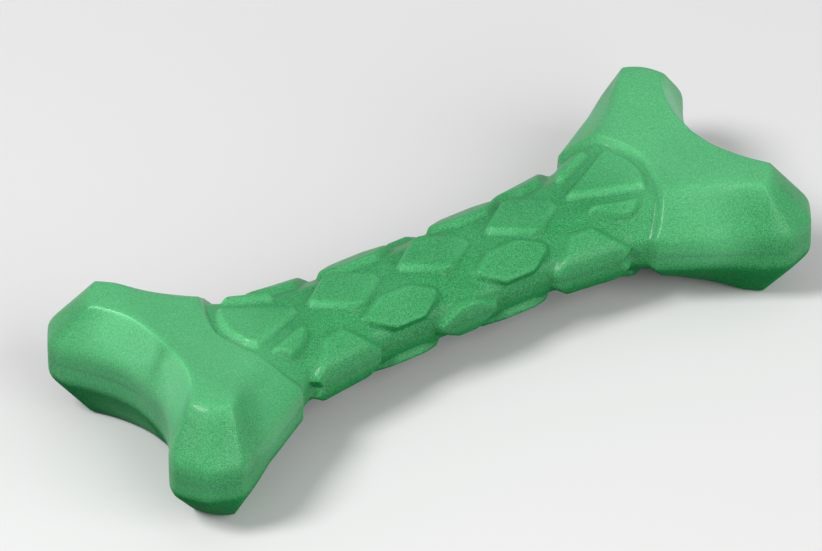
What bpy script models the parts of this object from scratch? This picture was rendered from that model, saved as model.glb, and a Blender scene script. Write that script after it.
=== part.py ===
"""Bone-shaped dog toy: two soft rubber half shells, bonded at the mid-plane round a reed squeaker.

Metres, +Z up. X runs along the bone, Y across it. The toy stands on the flats of its four arms at
Z = 0, and everything hangs from one empty at the height of the mid-plane, so the formulas below
count Z from that plane, where the two shells meet.
"""
import itertools
import math

import bmesh
import bpy
from mathutils import Matrix, Vector

# Overall size
LENGTH = 0.170
WIDTH = 0.0700
HEIGHT = 0.0304

# Shaft: a flattened octagon in section, which flares into the hub at each end. A setback is a
# distance from the bone's end.
SHAFT_WIDTH = 0.0296
SHAFT_HEIGHT = 0.0202
SHAFT_FLAT = 0.0128
SIDE_BAND = 0.0092
NECK_WIDTH = 0.0342
FLARE_SETBACK = 0.0610
NECK_SETBACK = 0.0420
HUB_SETBACK = 0.0246
HUB_RIDGE_RISE = 0.0035
HUB_RIDGE_SPREAD = 0.0113

# Arms: straight spurs, each with a sloping fan-shaped end beyond its crease, whose crotch side
# lies further in by the slant
ARM_ANGLE = math.radians(51.5)
ARM_TOP_WIDTH = 0.0091
ARM_MID_WIDTH = 0.0182
ARM_SHOULDER = 0.0042
ARM_CORNER = 0.0076
ARM_CORNER_WIDTH = 0.0150
ARM_NOSE = 0.0102
ARM_CREASE_SLANT = 0.0018
CROTCH_SETBACK = 0.0147
CROTCH_OVERHANG = 0.0049
CROTCH_FLAT = 0.0060
CROTCH_DIP = 0.0010

# Raised plates of the shaft, and the sunk field between them. A place across the top counts from
# -1 on the centre line over 0 on the ridge to 1 on the side band's edge. The corners of a shield
# and a cheek are shares of the plate's length and places across.
FIELD_DEPTH = 0.0017
PLATE_BEVEL = 0.0013
SMOOTH_END_SIDE_SETBACK = 0.0385
SMOOTH_END_TOP_SETBACK = 0.0284
SMOOTH_END_POWER = 2.3
TOP_PLATE_PITCH = 0.0238
TOP_PLATE_LENGTH = 0.0190
TOP_PLATE_WIDTH = 0.0144
FLANK_PLATE_PITCH = 0.0294
FLANK_PLATE_LENGTH = 0.0200
FLANK_PLATE_SPAN = (-0.11, 1.0)
SIDE_PLATE_LENGTH = 0.0170
SIDE_PLATE_HEIGHT = 0.0104
END_SIDE_PLATE_SETBACK = 0.0518
END_SIDE_PLATE_LENGTH = 0.0215
END_SIDE_PLATE_HEIGHT = 0.0168
SHARP_TIP = 0.14
BLUNT_TIP = 0.3
SHIELD_SETBACK = 0.0490
SHIELD_LENGTH = 0.0190
SHIELD_CORNERS = ((0.0, -0.88), (0.84, -0.27), (0.94, -0.55), (1.0, -0.85))
CHEEK_SETBACK = 0.0476
CHEEK_LENGTH = 0.0124
CHEEK_CORNERS = ((0.0, -0.08), (0.12, -0.28), (0.90, -0.10), (1.0, -0.02),
                 (0.68, 0.42), (0.34, 0.40), (0.06, 0.10))

# Walls, hollows and the lap joint between the shells
WALL = 0.0045
FIT = 0.0003
LIP_INSET = 0.0032
LIP_HEIGHT = 0.0012
HUB_CAVITY_SETBACK = 0.0200
POCKET_LENGTH = 0.0212
POCKET_WIDTH = 0.0092
POCKET_HEIGHT = 0.0190
POCKET_SETBACK = 0.0070

# Squeaker, in a seat over the vent hole
SQUEAKER_SETBACK = 0.0295
SQUEAKER_DIAMETER = 0.0176
SQUEAKER_HEIGHT = 0.0095
SQUEAKER_WALL = 0.0010
SEAT_LEVEL = -0.0056
SEAT_RIM_WALL = 0.0015
SEAT_RIM_HEIGHT = 0.0030
VENT_DIAMETER = 0.0030
CAP_THICKNESS = 0.0012
CAP_SKIRT = 0.0020
POST_DIAMETER = 0.0140
POST_WALL = 0.0016
HOLDER_LENGTH = 0.0110
HOLDER_WIDTH = 0.0064
HOLDER_BASE = 0.0022
HOLDER_SLOT_WIDTH = 0.0022
HOLDER_SLOT_MARGIN = 0.0014
BRIDGE_LENGTH = 0.0020
BRIDGE_HEIGHT = 0.0010
REED_LENGTH = 0.0080
REED_ROOT = 0.0015
REED_WIDTH = 0.0036
REED_THICKNESS = 0.0003

# Stations along the bone
FLARE_START = LENGTH / 2 - FLARE_SETBACK
NECK_START = LENGTH / 2 - NECK_SETBACK
HUB_START = LENGTH / 2 - HUB_SETBACK
CROTCH_TOP = LENGTH / 2 - CROTCH_SETBACK
SMOOTH_END_SIDE = LENGTH / 2 - SMOOTH_END_SIDE_SETBACK
SMOOTH_END_TOP = LENGTH / 2 - SMOOTH_END_TOP_SETBACK
HUB_CAVITY_END = LENGTH / 2 - HUB_CAVITY_SETBACK
SQUEAKER_X = LENGTH / 2 - SQUEAKER_SETBACK

# Numbers of points, and how far cutters run past what they cut
FLARE_STEPS = 7
ARC_STEPS = 8
CROTCH_STEPS = 4
POCKET_SIDES = 16
ROUND_SIDES = 32
OVERRUN = 0.0020
PLATE_OVERRUN = 0.0006
MERGE = 0.00001

RUBBER_GREEN = (0.055, 0.330, 0.115, 1.0)
SQUEAKER_WHITE = (0.780, 0.780, 0.740, 1.0)
REED_AMBER = (0.620, 0.420, 0.120, 1.0)


def clear_scene():
    for thing in list(bpy.data.objects):
        bpy.data.objects.remove(thing, do_unlink=True)


def make_collection(name):
    collection = bpy.data.collections.new(name)
    bpy.context.scene.collection.children.link(collection)
    return collection


def make_material(name, colour, roughness):
    material = bpy.data.materials.new(name)
    material.use_nodes = True
    shader = material.node_tree.nodes["Principled BSDF"]
    shader.inputs["Base Color"].default_value = colour
    shader.inputs["Roughness"].default_value = roughness
    shader.inputs["Metallic"].default_value = 0.0
    return material


class Maker:
    """Turns meshes into named objects, in one collection and under one empty."""

    def __init__(self, collection, root):
        self.collection = collection
        self.root = root

    def add(self, name, bm, material=None, location=(0.0, 0.0, 0.0)):
        mesh = bpy.data.meshes.new(name)
        bm.to_mesh(mesh)
        bm.free()
        thing = bpy.data.objects.new(name, mesh)
        thing.location = location
        thing.parent = self.root
        self.collection.objects.link(thing)
        if material is None:
            thing.hide_render = True
            thing.display_type = "WIRE"
        else:
            mesh.materials.append(material)
        return thing


def mirror(thing):
    modifier = thing.modifiers.new("Mirror", "MIRROR")
    modifier.use_axis = (True, True, True)
    modifier.merge_threshold = MERGE


def combine(thing, operation, other, crossing=False):
    """Adds a Boolean. Crossing says that the thing's own solids may run into each other."""
    modifier = thing.modifiers.new(f"{operation.title()} {other.name}", "BOOLEAN")
    modifier.operation = operation
    modifier.solver = "EXACT"
    modifier.object = other
    modifier.use_self = crossing


# Outlines

def turned_back(direction, point):
    """Direction past an end that lies on a symmetry plane, where the outline goes on mirrored."""
    if abs(point.x) > abs(point.y):
        return Vector((-direction.x, direction.y))
    return Vector((direction.x, -direction.y))


def offset_outline(points, inset):
    """Moves an outline between symmetry planes to its right by inset, with mitred corners."""
    moved = []
    for index, point in enumerate(points):
        before = (point - points[index - 1]).normalized() if index else None
        after = (points[index + 1] - point).normalized() if index + 1 < len(points) else None
        before = before or turned_back(after, point)
        after = after or turned_back(before, point)
        normals = Vector((before.y, -before.x)) + Vector((after.y, -after.x))
        moved.append(point + normals * (2 * inset / normals.length_squared))
    return moved


def shrunk(outline, inset):
    """Draws a closed outline in towards the middle of its box, by inset at each side of the box."""
    low = Vector((min(p.x for p in outline), min(p.y for p in outline)))
    high = Vector((max(p.x for p in outline), max(p.y for p in outline)))
    middle, half = (low + high) / 2, (high - low) / 2
    keep = Vector((1 - inset / half.x, 1 - inset / half.y))
    return [middle + (p - middle) * keep for p in outline]


def all_quadrants(points):
    """Closes an outline that runs from X = 0 to Y = 0 in the first quadrant by its mirror images."""
    right = points + [Vector((p.x, -p.y)) for p in reversed(points[:-1])]
    return right + [Vector((-p.x, p.y)) for p in reversed(right[1:-1])]


def bezier(start, control, end, steps):
    fractions = [step / steps for step in range(steps + 1)]
    return [start * (1 - t) ** 2 + control * (2 * t * (1 - t)) + end * t ** 2 for t in fractions]


def line(start, end, steps):
    return [start.lerp(end, step / steps) for step in range(steps + 1)]


# Shape of the bone

def arm_point(along, across):
    """Plan point of the first arm: along from its crease, across towards the bone's end."""
    forward = Vector((math.cos(ARM_ANGLE), math.sin(ARM_ANGLE)))
    sideways = Vector((forward.y, -forward.x))
    end_corner = forward * ARM_CORNER + sideways * (ARM_CORNER_WIDTH / 2)
    flank_corner = forward * ARM_CORNER - sideways * (ARM_CORNER_WIDTH / 2)
    crease = Vector((LENGTH / 2 - end_corner.x, WIDTH / 2 - flank_corner.y))
    return crease + forward * along + sideways * across


def flare(x):
    """0 on the shaft and 1 at the hub, growing as a power of the distance."""
    return max(0.0, (x - FLARE_START) / (HUB_START - FLARE_START)) ** 2.5


def centre_height(x):
    """The top's centre line climbs from the shaft to the crotch as a parabola."""
    rise = HEIGHT / 2 - CROTCH_DIP - SHAFT_HEIGHT / 2
    return SHAFT_HEIGHT / 2 + rise * max(0.0, (x - FLARE_START) / (CROTCH_TOP - FLARE_START)) ** 2


def side_width(x):
    """Half-width at the band: straight lines from the shaft to the neck and the arm's shoulder."""
    start = Vector((FLARE_START, SHAFT_WIDTH / 2))
    neck = Vector((NECK_START, NECK_WIDTH / 2))
    shoulder = arm_point(ARM_SHOULDER, -ARM_MID_WIDTH / 2)
    if x < NECK_START:
        return start.lerp(neck, max(0.0, (x - start.x) / (neck.x - start.x))).y
    return neck.lerp(shoulder, (x - neck.x) / (shoulder.x - neck.x)).y


def ridge(x):
    """Y and Z of the edge between the top and the flank."""
    return Vector((SHAFT_FLAT / 2 + HUB_RIDGE_SPREAD * flare(x),
                   SHAFT_HEIGHT / 2 + HUB_RIDGE_RISE * flare(x)))


def section(x, inset=0.0):
    """Y and Z down the section at x: top centre, ridge, band's edge, parting plane."""
    outline = [Vector((0.0, centre_height(x))), ridge(x),
               Vector((side_width(x), SIDE_BAND / 2)), Vector((side_width(x), 0.0))]
    return offset_outline(outline, inset)


def across_top(x, place):
    """Y at a place from -1 on the centre line over 0 on the ridge to 1 on the band's edge."""
    edge = ridge(x).x
    return edge * (1 + place) if place < 0 else edge + (side_width(x) - edge) * place


def top_surface(x, y):
    centre, edge, band, _ = section(abs(x))
    y = abs(y)
    if y < edge.x:
        return centre.lerp(edge, y / edge.x).y
    return edge.lerp(band, min(1.0, (y - edge.x) / (band.x - edge.x))).y


def side_surface(x, z):
    _, edge, band, _ = section(abs(x))
    return band.lerp(edge, max(0.0, (abs(z) - band.y) / (edge.y - band.y))).x


def plan_outline():
    """The bone's outline at the band, from X = 0 along the flank and round the arm to the crotch."""
    flank = [Vector((x, side_width(x))) for x in (0.0, FLARE_START, NECK_START)]
    fan = fan_outline()
    crotch = crotch_outline(CROTCH_TOP + CROTCH_OVERHANG, fan[0])
    return flank + fan[::-1] + crotch[::-1][1:]


def fan_outline():
    """Plan points round the arm's end at the band, from the crotch side to the flank."""
    half = [(ARM_SHOULDER, ARM_MID_WIDTH / 2), (ARM_CORNER, ARM_CORNER_WIDTH / 2)]
    nose = [(ARM_NOSE, 0.0)]
    places = half + nose + [(along, -across) for along, across in reversed(half)]
    return [arm_point(along, across) for along, across in places]


def crotch_outline(start_x, end):
    """From the centre line straight across the crotch, then bending out along the arm."""
    start = Vector((start_x, CROTCH_FLAT / 2))
    corner = Vector((start_x, end.y - (end.x - start_x) * math.tan(ARM_ANGLE)))
    return [Vector((start_x, 0.0))] + bezier(start, corner, end, CROTCH_STEPS)


# Mesh helpers

def raised(point, z):
    return Vector((point.x, point.y, z))


def add_grid(bm, rows):
    """Quads between rows of points, each row as long as the next."""
    made = [[bm.verts.new(point) for point in row] for row in rows]
    for row, following in itertools.pairwise(made):
        for index in range(len(row) - 1):
            bm.faces.new((row[index], row[index + 1], following[index + 1], following[index]))


def finish_patch(bm):
    """Joins the grids, and turns the patch so that its highest face looks up."""
    bmesh.ops.remove_doubles(bm, verts=bm.verts, dist=MERGE)
    bmesh.ops.recalc_face_normals(bm, faces=bm.faces)
    highest = max(bm.faces, key=lambda face: face.calc_center_median().z)
    if highest.normal.z < 0:
        bmesh.ops.reverse_faces(bm, faces=bm.faces)
    return bm


def box_mesh(low, high):
    bm = bmesh.new()
    low, high = Vector(low), Vector(high)
    place = Matrix.Translation((low + high) / 2) @ Matrix.Diagonal((*(high - low), 1.0))
    bmesh.ops.create_cube(bm, size=1.0, matrix=place)
    return bm


def cylinder_mesh(diameter, low, high):
    bm = bmesh.new()
    radius = diameter / 2
    place = Matrix.Translation((0.0, 0.0, (low + high) / 2))
    bmesh.ops.create_cone(bm, cap_ends=True, segments=ROUND_SIDES, radius1=radius, radius2=radius,
                          depth=high - low, matrix=place)
    return bm


def prism_mesh(outline, low, high):
    """A block with a plan outline, from low to high."""
    bm = bmesh.new()
    base = bm.faces.new([bm.verts.new(raised(point, low)) for point in outline])
    extrude(bm, base, Vector((0.0, 0.0, high - low)))
    return bm


def extrude(bm, face, step):
    made = bmesh.ops.extrude_face_region(bm, geom=[face])["geom"]
    moved = [item for item in made if isinstance(item, bmesh.types.BMVert)]
    bmesh.ops.translate(bm, verts=moved, vec=step)
    bmesh.ops.recalc_face_normals(bm, faces=bm.faces)


def turned_object(maker, name, profile, location, material=None):
    """A closed profile of radius and height, whose outer side runs down, spun round Z."""
    bm = bmesh.new()
    points = [bm.verts.new((radius, 0.0, height)) for radius, height in profile]
    for start, end in zip(points, points[1:] + points[:1]):
        bm.edges.new((start, end))
    thing = maker.add(name, bm, material, location)
    screw = thing.modifiers.new("Screw", "SCREW")
    screw.angle = 2 * math.pi
    screw.steps = screw.render_steps = ROUND_SIDES
    screw.use_merge_vertices = True
    screw.merge_threshold = MERGE
    return thing


# Guides that the shells are cut from

def flare_stations(end):
    """0, then even steps from the flare's start to end."""
    reach = end - FLARE_START
    return [0.0] + [FLARE_START + reach * step / FLARE_STEPS for step in range(FLARE_STEPS + 1)]


def shaft_rows(end, inset=0.0):
    return [[Vector((x, p.x, p.y)) for p in section(x, inset)] for x in flare_stations(end)]


def tube_mesh(end, inset):
    """One eighth of a bar that follows the shaft's section, inset, and is capped at end."""
    bm = bmesh.new()
    rows = shaft_rows(end, inset)
    add_grid(bm, rows)
    bm.faces.new([bm.verts.new(point) for point in rows[-1] + [Vector((end, 0.0, 0.0))]])
    return finish_patch(bm)


def with_middle(row):
    """A row of points with one more between its first two."""
    return [row[0], row[0].lerp(row[1], 0.5)] + row[1:]


def hub_edges():
    """Two top edges of the hub and the arm, row by row: the crotch's side and the flank's side.

    Both climb to the arm's flat, which starts half-way round the crotch.
    """
    crotch = crotch_outline(CROTCH_TOP, arm_point(-ARM_CREASE_SLANT, ARM_TOP_WIDTH / 2))
    centre = line(Vector((HUB_START, 0.0)), crotch[0], 2)[:-1]
    inner = centre + crotch
    last = len(inner) - 1
    outer = line(Vector((HUB_START, ridge(HUB_START).x)), arm_point(0.0, -ARM_TOP_WIDTH / 2), last)
    flat_start = last - CROTCH_STEPS // 2
    ridge_rise = HEIGHT / 2 - ridge(HUB_START).y

    def inner_height(index):
        share = min(1.0, (index - len(centre)) / (flat_start - len(centre)))
        if index < len(centre):
            return centre_height(inner[index].x)
        return centre_height(CROTCH_TOP) + CROTCH_DIP * share

    def outer_height(index):
        return ridge(HUB_START).y + ridge_rise * min(1.0, index / flat_start)

    return ([raised(p, inner_height(i)) for i, p in enumerate(inner)],
            [raised(p, outer_height(i)) for i, p in enumerate(outer)])


def envelope_mesh():
    """One eighth of the outer skin: shaft, hub top and flank, crotch wall and the arm's fan."""
    band = SIDE_BAND / 2
    fan = fan_outline()
    inner, outer = hub_edges()
    flank = line(Vector((HUB_START, side_width(HUB_START))), fan[-1], len(inner) - 1)
    crotch = crotch_outline(CROTCH_TOP + CROTCH_OVERHANG, fan[0])
    crease = [inner[-1], inner[-1], inner[-1].lerp(outer[-1], 0.5), outer[-1], outer[-1]]
    bm = bmesh.new()
    add_grid(bm, [with_middle(row) for row in shaft_rows(HUB_START)])
    add_grid(bm, [with_middle([high, edge, raised(p, band), raised(p, 0.0)])
                  for high, edge, p in zip(inner, outer, flank)])
    add_grid(bm, [[high, raised(p, band), raised(p, 0.0)]
                  for high, p in zip(inner[-len(crotch):], crotch)])
    add_grid(bm, [[high, raised(p, band), raised(p, 0.0)] for high, p in zip(crease, fan)])
    return finish_patch(bm)


def smooth_end_start(y):
    """Where the smooth end starts: an arc in plan, which bows out to SMOOTH_END_TOP at y = 0."""
    share = y / side_width(SMOOTH_END_SIDE)
    return SMOOTH_END_SIDE + (SMOOTH_END_TOP - SMOOTH_END_SIDE) * (1 - share ** SMOOTH_END_POWER)


def between_ends_mesh():
    """The stretch between the smooth ends, cut off along the arc, which goes on past the flanks."""
    widest = side_width(SMOOTH_END_SIDE) + OVERRUN
    widths = [widest * (1 - step / ARC_STEPS) for step in range(ARC_STEPS + 1)]
    arc = [Vector((smooth_end_start(y), y)) for y in widths]
    outline = [Vector((0.0, WIDTH)), Vector((arc[0].x, WIDTH))] + arc
    return prism_mesh(all_quadrants(outline), -HEIGHT, HEIGHT)


def lozenge(x, length, width, tip=SHARP_TIP):
    """Clockwise outline of a plate round x: a lozenge with its four tips cut off."""
    quarter = [Vector((length / 2 * tip, width / 2)), Vector((length / 2, width / 2 * tip))]
    right = quarter + [Vector((p.x, -p.y)) for p in reversed(quarter)]
    return [Vector((x + p.x, p.y)) for p in right + [Vector((-p.x, -p.y)) for p in right]]


def add_plate(bm, outline, surface, place):
    """A block from well below the field to above the skin, which meets the field at the outline.

    Its bevel runs on a little past the field and the skin. surface gives the skin's height over a
    point of the outline's plane, and place makes a point in space from such a point and a height.
    """
    spread = PLATE_BEVEL * PLATE_OVERRUN / FIELD_DEPTH
    foot, rim = shrunk(outline, -spread), shrunk(outline, PLATE_BEVEL + spread)
    levels = ((foot, -2 * FIELD_DEPTH), (foot, -FIELD_DEPTH - PLATE_OVERRUN), (rim, PLATE_OVERRUN))
    middle = sum(outline, Vector((0.0, 0.0))) / len(outline)
    rings = [[bm.verts.new(place(p, surface(p.x, p.y) + lift)) for p in points]
             for points, lift in levels]
    for ring, (_, lift) in ((rings[0], levels[0]), (rings[-1], levels[-1])):
        centre = bm.verts.new(place(middle, surface(middle.x, middle.y) + lift))
        for start, end in zip(ring, ring[1:] + ring[:1]):
            bm.faces.new((start, end, centre))
    for low, high in itertools.pairwise(rings):
        for index in range(len(low)):
            following = (index + 1) % len(low)
            bm.faces.new((low[index], low[following], high[following], high[index]))


def add_top_plate(bm, outline, sides):
    """Copies of a plate of the top, at the given signs of X, Y and Z."""
    for x_side, y_side, z_side in sides:
        add_plate(bm, outline, top_surface,
                  lambda p, height: Vector((p.x * x_side, p.y * y_side, height * z_side)))


def add_side_plate(bm, outline, sides):
    """Copies of a plate of the side, at the given signs of X and Y."""
    for x_side, y_side in sides:
        add_plate(bm, outline, side_surface,
                  lambda p, height: Vector((p.x * x_side, height * y_side, p.y)))


def flank_outline():
    """An octagon on the flank, half a pitch from the middle, over FLANK_PLATE_SPAN."""
    x = FLANK_PLATE_PITCH / 2
    reach, shoulder = FLANK_PLATE_LENGTH / 2, FLANK_PLATE_LENGTH / 5
    low, high = FLANK_PLATE_SPAN
    middle, step = (low + high) / 2, (high - low) / 9
    outer = [(shoulder, high), (reach, middle + step), (reach, middle - step), (shoulder, low)]
    inner = [(-along, place) for along, place in reversed(outer)]
    return [Vector((x + along, across_top(x + along, place))) for along, place in outer + inner]


def end_plate_corners(setback, length, corners):
    """Plan points of a plate that keeps its distance from the bone's end."""
    places = [(LENGTH / 2 - setback + length * share, place) for share, place in corners]
    return [Vector((x, across_top(x, place))) for x, place in places]


def shield_outline():
    half = end_plate_corners(SHIELD_SETBACK, SHIELD_LENGTH, SHIELD_CORNERS)
    return half + [Vector((p.x, -p.y)) for p in reversed(half)]


def cheek_outline():
    return end_plate_corners(CHEEK_SETBACK, CHEEK_LENGTH, CHEEK_CORNERS)[::-1]


def plates_mesh():
    bm = bmesh.new()
    signs = (1, -1)
    everywhere = list(itertools.product(signs, signs, signs))
    on_centre_line = [(x_side, 1, z_side) for x_side in signs for z_side in signs]
    middle = lozenge(0.0, TOP_PLATE_LENGTH, TOP_PLATE_WIDTH)
    add_top_plate(bm, middle, [(1, 1, z_side) for z_side in signs])
    beside = lozenge(TOP_PLATE_PITCH, TOP_PLATE_LENGTH, TOP_PLATE_WIDTH)
    add_top_plate(bm, beside, on_centre_line)
    add_top_plate(bm, shield_outline(), on_centre_line)
    add_top_plate(bm, flank_outline(), everywhere)
    add_top_plate(bm, cheek_outline(), everywhere)
    side = lozenge(0.0, SIDE_PLATE_LENGTH, SIDE_PLATE_HEIGHT, BLUNT_TIP)
    add_side_plate(bm, side, [(1, y_side) for y_side in signs])
    end_side_x = LENGTH / 2 - END_SIDE_PLATE_SETBACK
    end_side = lozenge(end_side_x, END_SIDE_PLATE_LENGTH, END_SIDE_PLATE_HEIGHT, BLUNT_TIP)
    add_side_plate(bm, end_side, list(itertools.product(signs, signs)))
    bmesh.ops.recalc_face_normals(bm, faces=bm.faces)
    return bm


def pockets_mesh():
    """An egg-shaped hollow in each arm, set back from the crease and open to the hub's hollow."""
    bm = bmesh.new()
    centre = arm_point(-POCKET_SETBACK, 0.0)
    size = Matrix.Diagonal((POCKET_LENGTH / 2, POCKET_WIDTH / 2, POCKET_HEIGHT / 2, 1.0))
    for x_side, y_side in itertools.product((1, -1), (1, -1)):
        place = Matrix.Translation((centre.x * x_side, centre.y * y_side, 0.0))
        turn = Matrix.Rotation(ARM_ANGLE * x_side * y_side, 4, "Z")
        bmesh.ops.create_uvsphere(bm, u_segments=POCKET_SIDES, v_segments=POCKET_SIDES // 2,
                                  radius=1.0, matrix=place @ turn @ size)
    return bm


def half_space(side):
    """A block over (1) or under (-1) the parting plane, half the seam gap away from it."""
    heights = sorted((side * FIT / 2, side * HEIGHT))
    return box_mesh((-LENGTH, -WIDTH, heights[0]), (LENGTH, WIDTH, heights[1]))


def make_shapes(guides):
    """The outer skin, the stretch between the smooth ends, and the sunk field, as guides."""
    skin = guides.add("outer_skin", envelope_mesh())
    mirror(skin)
    field = guides.add("sunk_field", tube_mesh(SMOOTH_END_TOP + OVERRUN, FIELD_DEPTH))
    mirror(field)
    return skin, guides.add("between_ends", between_ends_mesh()), field


def make_half(parts, guides, name, side, shapes, material):
    """Half of the toy's outer shape as one solid: smooth ends, the field and the plates on it."""
    skin, between_ends, field = shapes
    half_skin = guides.add(f"{name}_skin", half_space(side))
    combine(half_skin, "INTERSECT", skin)
    half_field = guides.add(f"{name}_field", half_space(side))
    combine(half_field, "INTERSECT", field)
    half_plates = guides.add(f"{name}_plates", plates_mesh())
    combine(half_plates, "INTERSECT", half_skin, crossing=True)
    half = parts.add(name, half_space(side), material)
    combine(half, "INTERSECT", skin)
    combine(half, "DIFFERENCE", between_ends)
    combine(half, "UNION", half_field)
    combine(half, "UNION", half_plates)
    return half


def make_hollow(guides):
    hollow = guides.add("hub_hollow", tube_mesh(HUB_CAVITY_END, WALL))
    mirror(hollow)
    return hollow, guides.add("arm_pockets", pockets_mesh())


def make_liner(guides):
    """Reaches half-way into the wall, so that the seat and the post can be trimmed to it."""
    liner = guides.add("liner", tube_mesh(HUB_CAVITY_END + WALL / 2, WALL / 2))
    mirror(liner)
    return liner


def ring_profile(outer, inner, high, low):
    return [(outer / 2, high), (outer / 2, low), (inner / 2, low), (inner / 2, high)]


# Parts

def make_upper_shell(parts, guides, shapes, hollows, liner, rubber):
    shell = make_half(parts, guides, "upper_shell", 1, shapes, rubber)
    for hollow in hollows:
        combine(shell, "DIFFERENCE", hollow)
    rebate = all_quadrants(offset_outline(plan_outline(), LIP_INSET - FIT))
    combine(shell, "DIFFERENCE", guides.add("lip_rebate", prism_mesh(rebate, -OVERRUN, LIP_HEIGHT + FIT)))
    squeaker_top = SEAT_LEVEL + FIT + SQUEAKER_HEIGHT
    profile = ring_profile(POST_DIAMETER, POST_DIAMETER - 2 * POST_WALL, HEIGHT, squeaker_top + FIT)
    post = turned_object(guides, "hold_down_ring", profile, (SQUEAKER_X, 0.0, 0.0))
    combine(post, "INTERSECT", liner)
    combine(shell, "UNION", post)


def seat_profile():
    """A pad with a rim round it, which the cup stands in, and a pilot bore for the vent."""
    inner = SQUEAKER_DIAMETER / 2 + FIT
    outer = inner + SEAT_RIM_WALL
    pilot = VENT_DIAMETER / 4
    rim_top = SEAT_LEVEL + SEAT_RIM_HEIGHT
    return [(outer, rim_top), (outer, -HEIGHT), (pilot, -HEIGHT), (pilot, SEAT_LEVEL),
            (inner, SEAT_LEVEL), (inner, rim_top)]


def make_lower_shell(parts, guides, shapes, hollows, liner, rubber):
    shell = make_half(parts, guides, "lower_shell", -1, shapes, rubber)
    lip = all_quadrants(offset_outline(plan_outline(), LIP_INSET))
    combine(shell, "UNION", guides.add("locating_lip", prism_mesh(lip, -OVERRUN, LIP_HEIGHT)))
    for hollow in hollows:
        combine(shell, "DIFFERENCE", hollow)
    place = (SQUEAKER_X, 0.0, 0.0)
    seat = turned_object(guides, "squeaker_seat", seat_profile(), place)
    combine(seat, "INTERSECT", liner)
    combine(shell, "UNION", seat)
    vent = cylinder_mesh(VENT_DIAMETER, -HEIGHT, SEAT_LEVEL + OVERRUN)
    combine(shell, "DIFFERENCE", guides.add("vent_hole", vent, location=place))


def make_squeaker_case(parts, plastic):
    """A cup that stands on the seat and a cap whose skirt goes down inside it, both with a hole."""
    place = (SQUEAKER_X, 0.0, SEAT_LEVEL + FIT)
    radius, hole = SQUEAKER_DIAMETER / 2, VENT_DIAMETER / 2
    bore = radius - SQUEAKER_WALL
    cap_base = SQUEAKER_HEIGHT - CAP_THICKNESS
    rim = cap_base - FIT
    cup = [(radius, rim), (radius, 0.0), (hole, 0.0), (hole, SQUEAKER_WALL),
           (bore, SQUEAKER_WALL), (bore, rim)]
    turned_object(parts, "squeaker_cup", cup, place, plastic)
    skirt = bore - FIT
    skirt_bore = skirt - SQUEAKER_WALL
    skirt_base = cap_base - CAP_SKIRT
    cap = [(radius, SQUEAKER_HEIGHT), (radius, cap_base), (skirt, cap_base), (skirt, skirt_base),
           (skirt_bore, skirt_base), (skirt_bore, cap_base), (hole, cap_base), (hole, SQUEAKER_HEIGHT)]
    turned_object(parts, "squeaker_cap", cap, place, plastic)


def holder_level():
    """Height of the reed holder's foot, on the cup's floor."""
    return SEAT_LEVEL + FIT + SQUEAKER_WALL + FIT


def make_reed_holder(parts, guides, plastic):
    """A block with an air slot over the cup's hole, and a bridge that holds the reed's root."""
    back, front = -HOLDER_LENGTH / 2, HOLDER_LENGTH / 2
    bridge_end = back + BRIDGE_LENGTH
    side = HOLDER_WIDTH / 2
    mouth_top = HOLDER_BASE + REED_THICKNESS + 2 * FIT
    place = (SQUEAKER_X, 0.0, holder_level())
    block = box_mesh((back, -side, 0.0), (front, side, HOLDER_BASE))
    holder = parts.add("reed_holder", block, plastic, place)
    bridge = box_mesh((back, -side, HOLDER_BASE / 2), (bridge_end, side, mouth_top + BRIDGE_HEIGHT))
    combine(holder, "UNION", guides.add("reed_bridge", bridge, location=place))
    reed_side = REED_WIDTH / 2 + FIT
    mouth = box_mesh((back - OVERRUN, -reed_side, HOLDER_BASE),
                     (bridge_end + OVERRUN, reed_side, mouth_top))
    combine(holder, "DIFFERENCE", guides.add("reed_mouth", mouth, location=place))
    slot_side = HOLDER_SLOT_WIDTH / 2
    slot = box_mesh((bridge_end + HOLDER_SLOT_MARGIN, -slot_side, -OVERRUN),
                    (front - HOLDER_SLOT_MARGIN, slot_side, HOLDER_BASE + OVERRUN))
    combine(holder, "DIFFERENCE", guides.add("air_slot", slot, location=place))


def make_reed(parts, amber):
    """A thin tongue over the air slot. Its origin is on the line where it bends, at the bridge."""
    place = (SQUEAKER_X - HOLDER_LENGTH / 2 + BRIDGE_LENGTH, 0.0,
             holder_level() + HOLDER_BASE + FIT + REED_THICKNESS / 2)
    half = Vector((0.0, REED_WIDTH / 2, REED_THICKNESS / 2))
    tongue = box_mesh(Vector((-REED_ROOT, 0.0, 0.0)) - half, Vector((REED_LENGTH, 0.0, 0.0)) + half)
    parts.add("squeaker_reed", tongue, amber, place)


def main():
    clear_scene()
    root = bpy.data.objects.new("mid_plane", None)
    root.location = (0.0, 0.0, HEIGHT / 2)
    parts = Maker(make_collection("bone_dog_toy"), root)
    guides = Maker(make_collection("cutters"), root)
    parts.collection.objects.link(root)
    rubber = make_material("green_rubber", RUBBER_GREEN, 0.45)
    plastic = make_material("squeaker_plastic", SQUEAKER_WHITE, 0.5)
    amber = make_material("reed_film", REED_AMBER, 0.35)
    shapes = make_shapes(guides)
    hollows = make_hollow(guides)
    liner = make_liner(guides)
    make_upper_shell(parts, guides, shapes, hollows, liner, rubber)
    make_lower_shell(parts, guides, shapes, hollows, liner, rubber)
    make_squeaker_case(parts, plastic)
    make_reed_holder(parts, guides, plastic)
    make_reed(parts, amber)


main()
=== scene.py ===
"""Looks of the bone-shaped dog toy: two moulded half shells of translucent green rubber.

Metres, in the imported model's frame: X along the bone, Y across it, and the floor at Z = 0. The
bone's own formulas count Z from the mid-plane, where the shells meet. The skin is a set of grids,
mirrored and rounded by heat flow. Each half of it is closed, and the hollow is cut out of it.
"""
import math

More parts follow.
